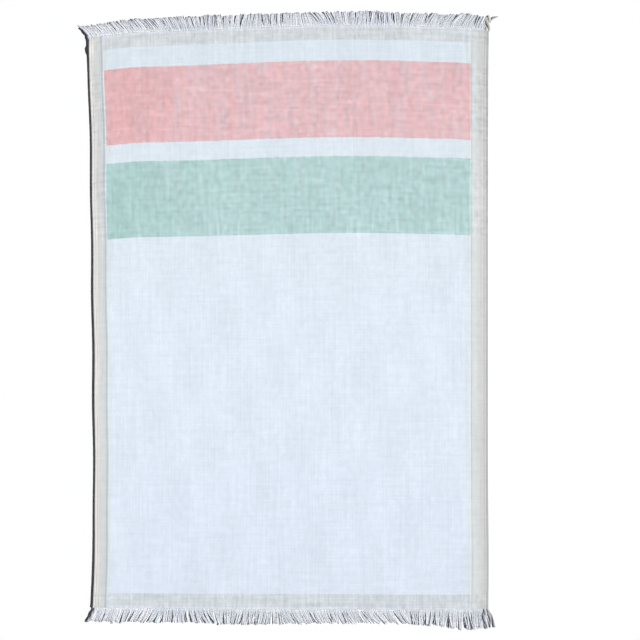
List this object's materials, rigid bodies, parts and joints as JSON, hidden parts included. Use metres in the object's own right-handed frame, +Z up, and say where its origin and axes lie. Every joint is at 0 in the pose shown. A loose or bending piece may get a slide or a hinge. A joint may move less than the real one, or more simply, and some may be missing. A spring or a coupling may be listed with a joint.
{
  "type": "outdoor rug",
  "caption": "Flat-woven outdoor rug with a plain grey border, a pink and a green stripe, corded selvedges and a loose fringe at both ends; it lies flat on a floor.",
  "frame": {"origin": "on the floor, under the middle of the whole rug with its fringes", "axes": "+Y along the warp to the striped end, +X to the right selvedge as seen from above, +Z up"},
  "size_m": [1.2665, 1.8938, 0.004],
  "materials": {
    "woven_cloth": "matt plain-weave cloth of spun outdoor yarn, pale blue-white with a grey border, one pink and one green stripe",
    "fringe_yarn": "matt twisted yarn ends, off-white with a cool grey cast"
  },
  "bodies": {
    "root": {"woven_panel": "woven_cloth", "striped_end_fringe": "fringe_yarn", "plain_end_fringe": "fringe_yarn"}
  },
  "joints": []
}
